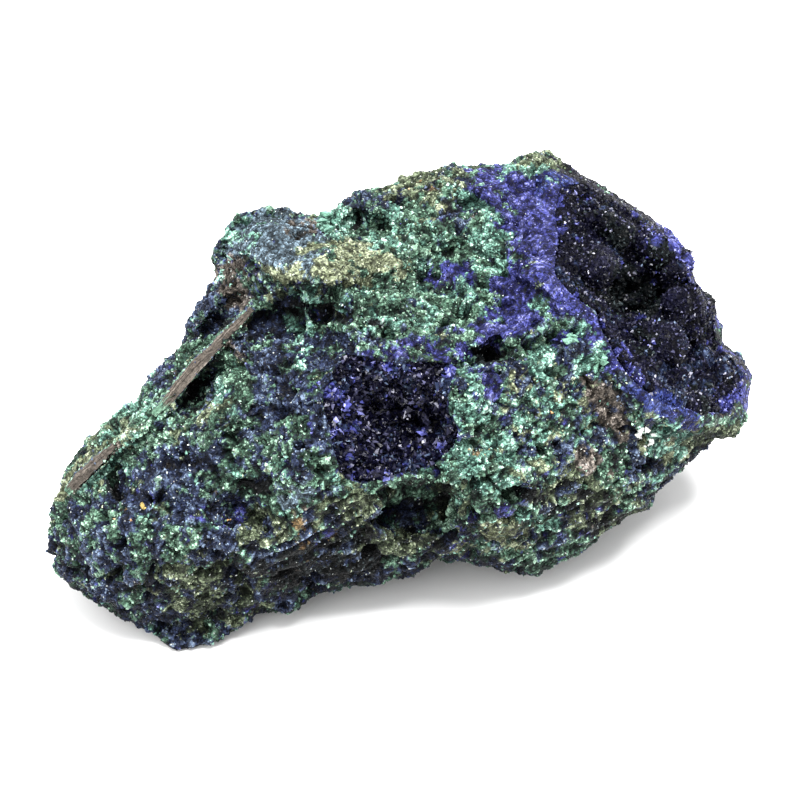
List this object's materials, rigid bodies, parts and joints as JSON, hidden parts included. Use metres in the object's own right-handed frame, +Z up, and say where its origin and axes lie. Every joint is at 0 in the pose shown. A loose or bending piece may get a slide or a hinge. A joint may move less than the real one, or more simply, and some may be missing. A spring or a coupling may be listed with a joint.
{
  "type": "azurite and malachite specimen",
  "caption": "Hand-sized rock of blue azurite and green malachite with a crystal-lined pocket in its face, a dark crystal hollow at one end and a flat broken patch to stand on",
  "frame": {"origin": "on the ground under the middle of the specimen's bounding box, as it stands on its broken patch", "axes": "+X along the specimen towards the end with the dark hollow, -Y towards whoever looks at its show face, +Z up"},
  "size_m": [0.1166, 0.0653, 0.0559],
  "materials": {
    "rock": "rough, granular",
    "vug_crystals": "glassy crystal faces",
    "hollow_crystals": "glassy crystal faces"
  },
  "bodies": {
    "root": {"rock": "rock", "vug_crystals": "vug_crystals", "hollow_crystals": "hollow_crystals"}
  },
  "joints": []
}
